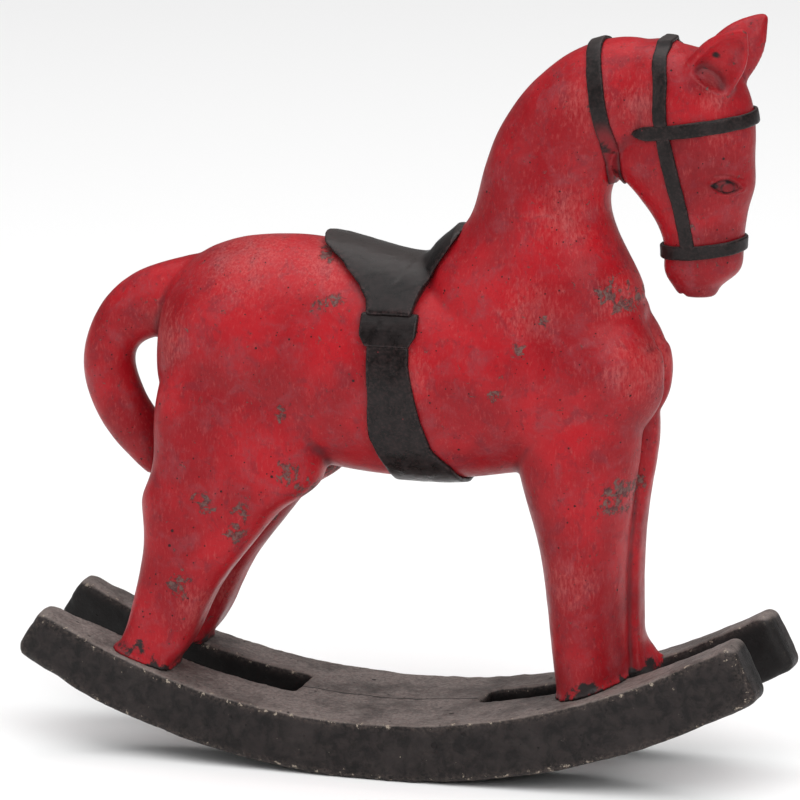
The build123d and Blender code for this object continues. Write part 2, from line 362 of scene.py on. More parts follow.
# Wide fillets where the legs leave the belly, narrow ones round the head, the tail and the feet.
x, y, z = red_grid.axes()
belly_z = box_mm("left_body_shell")[0][2]
above_belly = z - belly_z
fade_in, fade_out = LEG_TOP_FADE
leg_zone = smoothstep(*fade_in, above_belly) * (1 - smoothstep(*fade_out, above_belly))
tail_front = box_mm("tail")[1][0]
leg_zone = leg_zone * smoothstep(tail_front - 15, tail_front + 10, x)
wide_share = leg_zone * smoothstep(4, 14, np.abs(y)) * np.ones_like(x)
red = red_grid.like(small.values * (1 - wide_share) + large.values * wide_share)
red = red.blurred(3)


def carve(field, shape, k):
    """Takes a shape out of a field, with its rim rounded over k millimetres."""
    field.values = smooth_max(field.values, -shape, k).astype(np.float32)


def add(field, shape, k):
    """Adds a shape to a field, blended over k millimetres."""
    field.values = smooth_min(field.values, shape, k).astype(np.float32)


# Chest: a furrow down the middle between the two shoulders.
CHEST_FURROW_DEPTH = 3.2
CHEST_FURROW_WIDTH = 3.4
chest_low = box_mm("left_foreleg")[1][2] - 22
chest_x = box_mm("left_foreleg")[1][0]
furrow_mask = smoothstep(chest_x - 26, chest_x - 8, x)
furrow_mask = furrow_mask * smoothstep(chest_low - 35, chest_low - 5, z)
furrow_mask = furrow_mask * (1 - smoothstep(chest_low + 40, chest_low + 70, z))
chest_furrow = CHEST_FURROW_DEPTH * np.exp(-((y / CHEST_FURROW_WIDTH) ** 2)) * furrow_mask
red.values = red.values + chest_furrow.astype(np.float32)

# Creases in front of the shoulder, and the padded brow under each ear.
body_low, body_high = box_mm("left_body_shell")
body_size = body_high - body_low


def on_body(across, up):
    """x and z in millimetres of a place given as shares of the body's length and height."""
    return body_low[0] + across * body_size[0], body_low[2] + up * body_size[2]


groove(red, [on_body(0.77, 0.47), on_body(0.82, 0.41), on_body(0.84, 0.33)], 2.6, 1.3)
swell(red, on_body(0.815, 0.33), (11, 14), 1.2)
swell(red, on_body(0.946, 0.895), (7.5, 4.0), 1.1)
swell(red, on_body(0.90, 0.60), (9, 8), 0.8)

# The left forefoot spreads forward over the deck.
foot_low, foot_high = box_mm("left_foreleg")
add(red, ellipsoid(red, (foot_high[0] - 9.5, 17, foot_low[2] + 7), (7.5, 11, 13)), 5)

# The feet run out into the deck in a fillet and stop just above it.
deck = moved_to(base, red, DECK_BAND)
legs_alone = red.values
red.values = smooth_min(legs_alone, deck, FOOT_FILLET)
red.values = np.maximum(red.values, FOOT_CLEARANCE - deck)
red.values = np.maximum(red.values, legs_alone - FOOT_SPREAD).astype(np.float32)

roughen(red, CASTING_GRAIN)

# Ear cups, open to the outside and the front.
EAR_CUP_RADII = (11.5, 3.9, 4.6)
EAR_CUP_TILT = 48
EAR_CUP_OUTWARD = 4.6
for name, side in (("right_ear", -1), ("left_ear", 1)):
    low, high = box_mm(name)
    ear_x = low[0] + 0.62 * (high[0] - low[0])
    ear_y = (low[1] + high[1]) / 2 + side * EAR_CUP_OUTWARD
    ear_z = low[2] + 0.52 * (high[2] - low[2])
    carve(red, ellipsoid(red, (ear_x, ear_y, ear_z), EAR_CUP_RADII, EAR_CUP_TILT), 1.2)

# Two casting holes in the right ear, as shares of its length and height, with a radius.
EAR_HOLES = [(0.47, 0.58, 1.5), (0.285, 0.36, 1.2)]
hole_spots = []
ear_low, ear_high = box_mm("right_ear")
for across, up, radius in EAR_HOLES:
    hole_x = ear_low[0] + across * (ear_high[0] - ear_low[0])
    hole_z = ear_low[2] + up * (ear_high[2] - ear_low[2])
    hole_spots.append((hole_x, hole_z, radius))
    carve(red, ellipsoid(red, (hole_x, ear_low[1] + 1, hole_z), (radius, 4, radius)), 0.5)

# Mouth: a shallow notch under the muzzle.
nose_low, nose_high = box_mm("noseband")
muzzle_x = nose_low[0] + 0.27 * (nose_high[0] - nose_low[0])
muzzle_z = nose_low[2] - 19.5
carve(red, ellipsoid(red, (muzzle_x, 0, muzzle_z), (1.7, 30, 3.6), -20), 0.8)


def to_mesh(name, points, quads):
    """A mesh in metres from points in millimetres."""
    mesh = bpy.data.meshes.new(name)
    mesh.from_pydata((points * MM).tolist(), [], quads.tolist())
    mesh.validate()
    return mesh


def solid_object(name, mesh):
    """A new object in the scene."""
    piece = bpy.data.objects.new(name, mesh)
    bpy.context.scene.collection.objects.link(piece)
    return piece


def surface_of(field, steps=2):
    """Points and quads of a field's surface, drawn onto it, facing outwards."""
    points, quads = field.polygons()
    for _ in range(steps):
        points = points - field.sample(points)[:, None] * field.normals(points) * 0.8
    a, b, c, d = (points[quads[:, k]] for k in range(4))
    face_normals = np.cross(c - a, d - b)
    outward = field.normals((a + b + c + d) / 4)
    if (face_normals * outward).sum() < 0:
        quads = quads[:, ::-1]
    return points, quads


def prism(name, outline, y_low, y_high):
    """A closed block with that outline in the side view, in millimetres."""
    n = len(outline)
    points = [(px, y_low, pz) for px, pz in outline] + [(px, y_high, pz) for px, pz in outline]
    faces = [list(range(n)), list(range(2 * n - 1, n - 1, -1))]
    faces += [[k, n + k, n + (k + 1) % n, (k + 1) % n] for k in range(n)]
    mesh = bpy.data.meshes.new(name)
    mesh.from_pydata([tuple(c * MM for c in p) for p in points], [], faces)
    work = bmesh.new()
    work.from_mesh(mesh)
    bmesh.ops.recalc_face_normals(work, faces=work.faces)
    work.to_mesh(mesh)
    work.free()
    return solid_object(name, mesh)


def boolean(piece, cutter, operation):
    """Applies one exact cut and keeps the cutter."""
    modifier = piece.modifiers.new("cut", "BOOLEAN")
    modifier.operation = operation
    modifier.object = cutter
    modifier.solver = "MANIFOLD"
    graph = bpy.context.evaluated_depsgraph_get()
    mesh = bpy.data.meshes.new_from_object(piece.evaluated_get(graph))
    piece.modifiers.remove(modifier)
    old = piece.data
    piece.data = mesh
    bpy.data.meshes.remove(old)
    return piece


def coordinates(mesh):
    """The vertices of a mesh in millimetres."""
    points = np.empty(len(mesh.vertices) * 3)
    mesh.vertices.foreach_get("co", points)
    return points.reshape(-1, 3) / MM


def smooth_from(piece, field):
    """Shades a piece with the field's own normals, so that flush seams don't show."""
    mesh = piece.data
    mesh.polygons.foreach_set("use_smooth", np.ones(len(mesh.polygons), bool))
    mesh.normals_split_custom_set_from_vertices(field.normals(coordinates(mesh)).tolist())
    mesh.update()


def attribute(mesh, name, values):
    """A number at every vertex, read by the materials."""
    layer = mesh.attributes.new(name, "FLOAT", "POINT")
    layer.data.foreach_set("value", np.asarray(values, np.float32))


# Outlines in the side view that part the casting into its pieces.
tail_low, tail_high = box_mm("tail")
FAR = 400.0
fore_cut_z = belly_z + 22
fore_rear = box_mm("right_foreleg")[0][0] - 8
hind_front = box_mm("left_hind_leg")[1][0] + 6
hind_cut_rear = (body_low[0] - 1.0, box_mm("left_hind_leg")[1][2] - 6)
hind_cut_front = (hind_front, belly_z + 12)
TAIL_OUTLINE = [
    (-FAR, 100),
    (tail_low[0] + 30, 100),
    (body_low[0] - 3.2, tail_low[2] + 12),
    (body_low[0] - 2.6, tail_low[2] + 34),
    (body_low[0] + 1.0, tail_low[2] + 72),
    (tail_high[0] - 6, tail_high[2] - 32),
    (tail_high[0] - 8, tail_high[2] + 8),
    (-FAR, tail_high[2] + 30),
]
HIND_OUTLINE = [
    (-FAR, -20),
    (hind_front, -20),
    hind_cut_front,
    hind_cut_rear,
    (-FAR, hind_cut_rear[1] + 20),
]
FORE_OUTLINE = [
    (fore_rear, -20),
    (FAR, -20),
    (FAR, fore_cut_z),
    (fore_rear, fore_cut_z),
]

points, quads = surface_of(red)
master = solid_object("casting", to_mesh("casting", points, quads))

left_of_seam = prism("left_of_seam", [(-FAR, -20), (FAR, -20), (FAR, FAR), (-FAR, FAR)], 0, 200)
tail_cutter = prism("tail_cutter", TAIL_OUTLINE, -200, 200)
hind_cutter = prism("hind_cutter", HIND_OUTLINE, -200, 200)
fore_cutter = prism("fore_cutter", FORE_OUTLINE, -200, 200)
cutters = [left_of_seam, tail_cutter, hind_cutter, fore_cutter]

EAR_SEAM = 0.9
ear_cutters = {}
for name in ("right_ear", "left_ear"):
    low, high = box_mm(name)
    grid = Field(low - 6, high + 6, 0.8)
    grown = grid.set_mesh(*node_triangles(name), 4.0)
    grown_points, grown_quads = grown.polygons(EAR_SEAM)
    cutter = solid_object(name + "_cutter", to_mesh(name + "_cutter", grown_points, grown_quads))
    work = bmesh.new()
    work.from_mesh(cutter.data)
    bmesh.ops.recalc_face_normals(work, faces=work.faces)
    work.to_mesh(cutter.data)
    work.free()
    ear_cutters[name] = cutter
    cutters.append(cutter)


def part_of(name, *cuts):
    """A copy of the whole casting cut down by (cutter, operation) pairs."""
    piece = solid_object(name, master.data.copy())
    for cutter, operation in cuts:
        boolean(piece, cutter, operation)
    return piece


def keep_largest(piece):
    """Removes crumbs that a cut left behind."""
    work = bmesh.new()
    work.from_mesh(piece.data)
    unseen, islands = set(work.verts), []
    while unseen:
        start = unseen.pop()
        island, stack = [start], [start]
        while stack:
            for edge in stack.pop().link_edges:
                for other in edge.verts:
                    if other in unseen:
                        unseen.remove(other)
                        island.append(other)
                        stack.append(other)
        islands.append(island)
    islands.sort(key=len)
    for island in islands[:-1]:
        bmesh.ops.delete(work, geom=island, context="VERTS")
    work.to_mesh(piece.data)
    work.free()


KEEP, DROP = "INTERSECT", "DIFFERENCE"
red_pieces = {}
for side, keep in (("right", DROP), ("left", KEEP)):
    seam = (left_of_seam, keep)
    ear = ear_cutters[side + "_ear"]
    red_pieces[side + "_body_shell"] = part_of(
        side + "_half_body",
        seam,
        (fore_cutter, DROP),
        (hind_cutter, DROP),
        (tail_cutter, DROP),
        (ear, DROP),
    )
    red_pieces[side + "_foreleg"] = part_of(side + "_front_leg", seam, (fore_cutter, KEEP))
    red_pieces[side + "_hind_leg"] = part_of(
        side + "_back_leg", seam, (hind_cutter, KEEP), (tail_cutter, DROP)
    )
    red_pieces[side + "_ear"] = part_of(side + "_pricked_ear", seam, (ear, KEEP))
red_pieces["tail"] = part_of("curved_tail", (tail_cutter, KEEP))


# ---------------------------------------------------------------- eyes

brow_low, brow_high = box_mm("browband")
EYE = (brow_high[0] - 10.8, brow_low[2] - 19.5)
EYE_HALF_LENGTH = 5.6
EYE_HALF_HEIGHT = 3.3
EYE_TILT = -12.0


def eye_frame(points):
    """Coordinates along and across the eye, in millimetres, in the side view."""
    c, s = math.cos(math.radians(EYE_TILT)), math.sin(math.radians(EYE_TILT))
    dx, dz = points[:, 0] - EYE[0], points[:, 2] - EYE[1]
    return c * dx + s * dz, -s * dx + c * dz


def refine_eye(piece):
    """Finer mesh round the eye."""
    work = bmesh.new()
    work.from_mesh(piece.data)
    centre = Vector((EYE[0] * MM, 0, EYE[1] * MM))
    near = []
    for edge in work.edges:
        mid = (edge.verts[0].co + edge.verts[1].co) / 2
        flat = Vector((mid.x - centre.x, 0, mid.z - centre.z))
        if flat.length < 9 * MM and abs(mid.y) > 6 * MM:
            near.append(edge)
    bmesh.ops.subdivide_edges(work, edges=near, cuts=2, use_grid_fill=True)
    work.to_mesh(piece.data)
    work.free()


def eye_relief(points):
    """Height in millimetres of lids, ball and creases, and how dark the paint is there."""
    u, v = eye_frame(points)
    lid_top = EYE_HALF_HEIGHT * np.clip(1 - (u / EYE_HALF_LENGTH) ** 2, 0, 1) ** 0.8
    lid_low = -0.8 * EYE_HALF_HEIGHT * np.clip(1 - (u / EYE_HALF_LENGTH) ** 2, 0, 1) ** 0.9
    inside = (np.abs(u) < EYE_HALF_LENGTH) & (v < lid_top) & (v > lid_low)
    to_lid = np.minimum(np.abs(v - lid_top), np.abs(v - lid_low))
    to_lid = np.where(np.abs(u) < EYE_HALF_LENGTH, to_lid, np.hypot(np.abs(u) - EYE_HALF_LENGTH, v))
    line = np.exp(-((to_lid / 0.55) ** 2))
    lid = np.exp(-(((to_lid - 1.3) / 0.8) ** 2)) * ~inside
    ball = np.hypot((u - 0.9) / 2.6, v / 2.5)
    pupil = np.exp(-(((ball - 1) / 0.22) ** 2)) * inside
    height = 0.45 * lid - 0.75 * line + 0.35 * np.clip(1 - ball, 0, 1) * inside - 0.3 * pupil
    corner = np.exp(-(((u + 0.85 * EYE_HALF_LENGTH) / 1.6) ** 2 + (v / 1.1) ** 2))
    blotch = 0.55 + 0.45 * value_noise(points[:, 0], points[:, 1], points[:, 2], 1.3, 41)
    dark = np.clip((0.75 * line + 0.75 * pupil) * blotch + 1.3 * corner + 0.3 * inside, 0, 1)
    crease_v = v - (EYE_HALF_HEIGHT + 2.4 - 0.035 * u**2)
    crease = np.exp(-((crease_v / 0.5) ** 2)) * (np.abs(u) < 6)
    return height - 0.3 * crease, np.clip(dark + 0.2 * crease * blotch, 0, 1)


# ---------------------------------------------------------------- wear maps

# Places where the paint has gone down to the filler, where it is rubbed pale, and where a highlight
# is painted in pale pink, as shares of the body's length and height, with a radius in millimetres.
BARE_PATCHES = [
    (0.775, 0.455, 6), (0.80, 0.43, 5), (0.795, 0.02, 6), (0.785, -0.01, 6),
    (0.60, 0.23, 4), (0.64, 0.33, 4), (0.285, -0.03, 8), (0.25, 0.03, 6),
    (0.27, -0.15, 7), (0.235, -0.20, 6), (0.11, -0.05, 6), (0.16, -0.12, 6),
    (0.17, -0.06, 5), (0.065, -0.24, 7), (0.08, -0.44, 6), (0.11, -0.37, 5),
    (0.33, 0.41, 4), (0.24, 0.16, 4), (0.295, 0.50, 5), (0.30, 0.40, 4),
    (0.62, -0.28, 5), (0.63, -0.36, 4), (0.905, 0.62, 5), (0.75, 0.86, 4),
    (0.68, 0.40, 3),
]
DEEP_PATCHES = [
    (0.925, 0.70, 19), (0.94, 0.57, 14), (0.91, 0.42, 12), (0.885, 0.80, 9),
    (0.935, 0.93, 7),
]
PALE_WEAR_AND_HIGHLIGHT_PATCHES = [
    (0.74, 0.87, 13), (0.83, 0.87, 11), (0.945, 0.895, 6), (0.955, 0.82, 6),
    (0.79, 0.45, 10), (0.83, 0.30, 15), (0.66, 0.42, 14), (0.16, 0.50, 22),
    (0.30, 0.50, 16), (0.03, 0.30, 14), (0.45, 0.26, 12), (0.72, -0.18, 12),
    (0.10, -0.30, 12), (0.70, 0.62, 14),
]


bend_near = red.blurred(1).values
bend_far = red.blurred(6).values
curvature = red.like((bend_far - bend_near).astype(np.float32))


def spread(points, patches):
    """1 in the middle of each patch, fading to 0 round it."""
    total = np.zeros(len(points))
    for across, up, radius in patches:
        px, pz = on_body(across, up)
        away = np.hypot(points[:, 0] - px, points[:, 2] - pz)
        total = np.maximum(total, 1 - smoothstep(0.2 * radius, 1.6 * radius, away))
    return total


def below_deck(points):
    """How far each point lies below the curve of the deck's top, in millimetres."""
    return np.hypot(points[:, 0] - DECK_AXIS[0], points[:, 2] - DECK_AXIS[1]) - DECK_RADIUS


def paint_maps(piece, field_points):
    """How worn, how pale (rubbed paint and painted highlight), how recessed (for painted shade) and
    how far above the deck each vertex is.
    """
    bend = curvature.sample(field_points)
    attribute(piece.data, "worn", spread(field_points, BARE_PATCHES))
    attribute(piece.data, "pale", spread(field_points, PALE_WEAR_AND_HIGHLIGHT_PATCHES))
    attribute(piece.data, "deep", spread(field_points, DEEP_PATCHES))
    attribute(piece.data, "edge", np.clip(bend * 4, 0, 1))
    # Concave places, where the red paint gets painted shade.
    attribute(piece.data, "hollow_shade", np.clip(-bend * 4, 0, 1))
    attribute(piece.data, "above_deck", -below_deck(field_points) / 20)


for node, piece in red_pieces.items():
    keep_largest(piece)
    if node.endswith("body_shell"):
        refine_eye(piece)
    here = coordinates(piece.data)
    outward = red.normals(here)
    dark = np.zeros(len(here))
    if node.endswith("body_shell"):
        near_eye = (np.hypot(here[:, 0] - EYE[0], here[:, 2] - EYE[1]) < 12) & (np.abs(here[:, 1]) > 6)
        height, shade = eye_relief(here)
        here = here + outward * (height * near_eye)[:, None]
        dark = shade * near_eye
        piece.data.vertices.foreach_set("co", (here * MM).ravel())
    paint_maps(piece, here)
    # Painted shade in the two ear holes, carried by the same darkness map as the eye.
    if node == "right_ear":
        for hole_x, hole_z, radius in hole_spots:
            away = np.hypot(here[:, 0] - hole_x, here[:, 2] - hole_z)
            dark = np.maximum(dark, 1 - smoothstep(0.8 * radius, 1.4 * radius, away))
    attribute(piece.data, "eye", dark)
    if node.endswith("body_shell"):
        piece.data.polygons.foreach_set("use_smooth", np.ones(len(piece.data.polygons), bool))
        shown = red.normals(here)
        if near_eye.any():
            piece.data.update()
            mesh_normals = np.empty(len(here) * 3)
            piece.data.vertices.foreach_get("normal", mesh_normals)
            shown[near_eye] = mesh_normals.reshape(-1, 3)[near_eye]
        piece.data.normals_split_custom_set_from_vertices(shown.tolist())
    else:
        smooth_from(piece, red)

bpy.data.objects.remove(master)


# ---------------------------------------------------------------- tack

# CAD node: piece, voxel, passes of softening, how far it stands proud of the CAD, material slot.
TACK = {
    "saddle": ("seat_and_flaps", 0.7, 3, 0.4, "saddle_black"),
    "girth": ("belly_band", 0.6, 2, 0.4, "saddle_black"),
    "right_girth_keeper": ("right_keeper_loop", 0.5, 2, 0.35, "saddle_black"),
    "left_girth_keeper": ("left_keeper_loop", 0.5, 2, 0.35, "saddle_black"),
    "crown_strap": ("head_crown_strap", 0.45, 2, 0.4, "bridle_black"),
    "right_cheek_strap": ("right_side_cheek_strap", 0.45, 2, 0.4, "bridle_black"),
    "left_cheek_strap": ("left_side_cheek_strap", 0.45, 2, 0.4, "bridle_black"),
    "browband": ("front_browband", 0.45, 2, 0.4, "bridle_black"),
    "noseband": ("muzzle_noseband", 0.45, 2, 0.4, "bridle_black"),
    "throat_strap": ("neck_throat_strap", 0.45, 2, 0.4, "bridle_black"),
}
STRAP_GRAIN = ((7, 0.16, 11), (2.5, 0.08, 13))
SADDLE_REACH = (14, 0, 10)  # room for the pommel, past the front and top of the CAD saddle
POMMEL_THICKNESS = 2.4
POMMEL_HALF_LENGTH = 4.8
POMMEL_HALF_WIDTH = 21
POMMEL_LEAN = 0.62
POMMEL_BLEND = 5.0
BROW_SLOPE = 0.13
BROW_MIDDLE = 3.4
BROW_POINT_LENGTH = 8
BROW_POINT_HALF_HEIGHT = 3.5
THROAT_TRIM = 6.5


def pommel(grid, saddle_high):
    """The lip of the saddle that runs up the foot of the neck."""
    x, y, z = grid.axes()
    points = np.stack(np.broadcast_arrays(x, y, z), axis=-1).reshape(-1, 3)
    skin = red.sample(points.astype(np.float64)).reshape(grid.shape) - POMMEL_THICKNESS
    front, top = saddle_high[0], saddle_high[2]
    lean = (z - (top - 14)) * POMMEL_LEAN
    along = x - (front - 4) - lean
    rise = np.maximum(z - (top - 12), 0) / 19
    dome = (np.sqrt((y / POMMEL_HALF_WIDTH) ** 2 + rise**2) - 1) * 14
    return np.maximum(np.maximum(skin, np.abs(along) - POMMEL_HALF_LENGTH), dome)


tack_pieces = {}
for node, (name, voxel, passes, grow, slot) in TACK.items():
    voxel = voxel * 1
    low, high = box_mm(node)
    reach = SADDLE_REACH if node == "saddle" else (0, 0, 0)
    grid = Field(low - 5, high + 5 + np.array(reach), voxel)
    strap = grid.set_mesh(*node_triangles(node), 4.0).blurred(passes)
    tx, ty, tz = strap.axes()
    strap.values = strap.values - grow
    if node == "saddle":
        strap.values = smooth_min(strap.values, pommel(grid, high), POMMEL_BLEND)
    if node == "browband":
        middle = low[2] + BROW_MIDDLE + BROW_SLOPE * (tx - low[0])
        share = np.clip((tx - low[0]) / BROW_POINT_LENGTH, 0.01, 1)
        half = BROW_POINT_HALF_HEIGHT * np.sqrt(share)
        taper = np.abs(tz - middle) - np.where(tx < low[0] + BROW_POINT_LENGTH, half, 20.0)
        strap.values = np.maximum(strap.values, taper + 0 * ty)
    if node == "throat_strap":
        strap.values = np.maximum(strap.values, low[2] + THROAT_TRIM - tz + 0 * tx + 0 * ty)
    strap.values = strap.values.astype(np.float32)
    roughen(strap, STRAP_GRAIN)
    strap_points, strap_quads = surface_of(strap, 1)
    piece = solid_object(name, to_mesh(name, strap_points, strap_quads))
    keep_largest(piece)
    smooth_from(piece, strap)
    bend = strap.like((strap.blurred(5).values - strap.values).astype(np.float32))
    here = coordinates(piece.data)
    attribute(piece.data, "edge", np.clip(bend.sample(here) * 2.5, 0, 1))
    rise = (here[:, 2] - low[2]) / (high[2] - low[2])
    faded = (1 - smoothstep(0.38, 0.55, rise)) if node == "throat_strap" else 0 * rise
    attribute(piece.data, "faded", faded)
    # Up-facing share, for the painted highlight on the tops.
    attribute(piece.data, "up", np.clip(strap.normals(here)[:, 2], 0, 1))
    tack_pieces[node] = piece


# ---------------------------------------------------------------- rocker pieces

base_points, base_quads = surface_of(base, 1)
base_points[:, 2] = np.maximum(base_points[:, 2], 0.0)
base_master = solid_object("base", to_mesh("base", base_points, base_quads))
base_bend = base.like((base.blurred(5).values - base.values).astype(np.float32))
base_pieces = {}
for side, keep in (("right", DROP), ("left", KEEP)):
    piece = solid_object(side + "_rail_and_deck", base_master.data.copy())
    boolean(piece, left_of_seam, keep)
    keep_largest(piece)
    smooth_from(piece, base)
    here = coordinates(piece.data)
    bend = base_bend.sample(here)
    attribute(piece.data, "edge", np.clip(bend * 3, 0, 1))
    # Concave places, where the base paint gets painted shade.
    attribute(piece.data, "hollow_shade", np.clip(-bend * 3, 0, 1))
    depth = smoothstep(1, 6, below_deck(here))
    # Map of painted shade: below the top of the deck and between the rails.
    attribute(piece.data, "inside", depth * (1 - smoothstep(27, 33, np.abs(here[:, 1]))))
    # Up-facing share, for dust and painted light on the tops.
    attribute(piece.data, "up", np.clip(base.normals(here)[:, 2], 0, 1))
    base_pieces[side + "_rocker"] = piece
bpy.data.objects.remove(base_master)
for cutter in cutters:
    bpy.data.objects.remove(cutter)


# ---------------------------------------------------------------- materials


class Shader:
    """A small helper that builds one procedural material."""

    def __init__(self, name):
        self.material = bpy.data.materials.new(name)
        self.material.use_nodes = True
        self.tree = self.material.node_tree
        self.surface = self.tree.nodes["Principled BSDF"]
        place = self.node("ShaderNodeTexCoord")
        scaled = self.node("ShaderNodeVectorMath", operation="SCALE")
        scaled.inputs["Scale"].default_value = 1 / MM
        self.tree.links.new(place.outputs["Object"], scaled.inputs[0])
        self.place = scaled.outputs[0]

    def node(self, kind, **settings):
        """A new node with those settings."""
        made = self.tree.nodes.new(kind)
        for key, value in settings.items():
            setattr(made, key, value)
        return made

    def link(self, value, socket):
        """Feeds a socket from another one, or sets a plain number on it."""
        if isinstance(value, bpy.types.NodeSocket):
            self.tree.links.new(value, socket)
        else:
            socket.default_value = value

    def math(self, operation, a, b=0.0, clamp=False):
        made = self.node("ShaderNodeMath", operation=operation, use_clamp=clamp)
        self.link(a, made.inputs[0])
        self.link(b, made.inputs[1])
        return made.outputs[0]

    def step(self, value, low, high, to_low=0.0, to_high=1.0):
        """A smooth step from to_low to to_high."""
        made = self.node("ShaderNodeMapRange", interpolation_type="SMOOTHSTEP")
        self.link(value, made.inputs["Value"])
        made.inputs["From Min"].default_value = low
        made.inputs["From Max"].default_value = high
        made.inputs["To Min"].default_value = to_low
        made.inputs["To Max"].default_value = to_high
        return made.outputs["Result"]

    def stretched(self, scale, turn=0.0):
        made = self.node("ShaderNodeMapping")
        self.link(self.place, made.inputs["Vector"])
        made.inputs["Scale"].default_value = scale
        made.inputs["Rotation"].default_value = (0, turn, 0)
        return made.outputs["Vector"]

    def noise(self, size, detail=4.0, rough=0.55, place=None, distortion=0.0):
        made = self.node("ShaderNodeTexNoise")
        self.link(place or self.place, made.inputs["Vector"])
        made.inputs["Scale"].default_value = 1 / size
        made.inputs["Detail"].default_value = detail
        made.inputs["Roughness"].default_value = rough
        made.inputs["Distortion"].default_value = distortion
        return made.outputs["Fac"]

    def pits(self, cell, radius, share, offset=0.0):
        """1 inside scattered round pits, 0 between them."""
        moved = self.node("ShaderNodeVectorMath", operation="ADD")
        self.link(self.place, moved.inputs[0])
        moved.inputs[1].default_value = (offset, offset * 0.7, offset * 1.3)
        made = self.node("ShaderNodeTexVoronoi")
        self.link(moved.outputs[0], made.inputs["Vector"])
        made.inputs["Scale"].default_value = 1 / cell
        split = self.node("ShaderNodeSeparateColor")
        self.tree.links.new(made.outputs["Color"], split.inputs[0])
        size = self.math("MULTIPLY", self.math("ADD", split.outputs[1], 0.35), radius / cell)
        hole = self.math("SUBTRACT", size, made.outputs["Distance"])
        hole = self.step(hole, 0.0, 0.35 * radius / cell)
        chosen = self.math("LESS_THAN", split.outputs[0], share)
        return self.math("MULTIPLY", hole, chosen)

    def mix(self, factor, a, b):
        """Colour a where factor is 0, b where it is 1."""
        made = self.node("ShaderNodeMix", data_type="RGBA")
        made.clamp_factor = True
        self.link(factor, made.inputs["Factor"])
        for value, socket in ((a, made.inputs["A"]), (b, made.inputs["B"])):
            colour = value if isinstance(value, bpy.types.NodeSocket) else (*value, 1.0)
            named = [s for s in made.inputs if s.name == socket.name and s.type == "RGBA"]
            self.link(colour, named[0])
        return [s for s in made.outputs if s.type == "RGBA"][0]

    def read(self, name):
        made = self.node("ShaderNodeAttribute", attribute_name=name)
        return made.outputs["Fac"]

    def finish(self, colour, roughness, height, distance, specular=0.5):
        self.link(colour, self.surface.inputs["Base Color"])
        self.link(roughness, self.surface.inputs["Roughness"])
        self.surface.inputs["Specular IOR Level"].default_value = specular
        bump = self.node("ShaderNodeBump")
        bump.inputs["Distance"].default_value = distance * MM
        bump.inputs["Strength"].default_value = 1.0
        self.link(height, bump.inputs["Height"])
        self.tree.links.new(bump.outputs["Normal"], self.surface.inputs["Normal"])
        return self.material


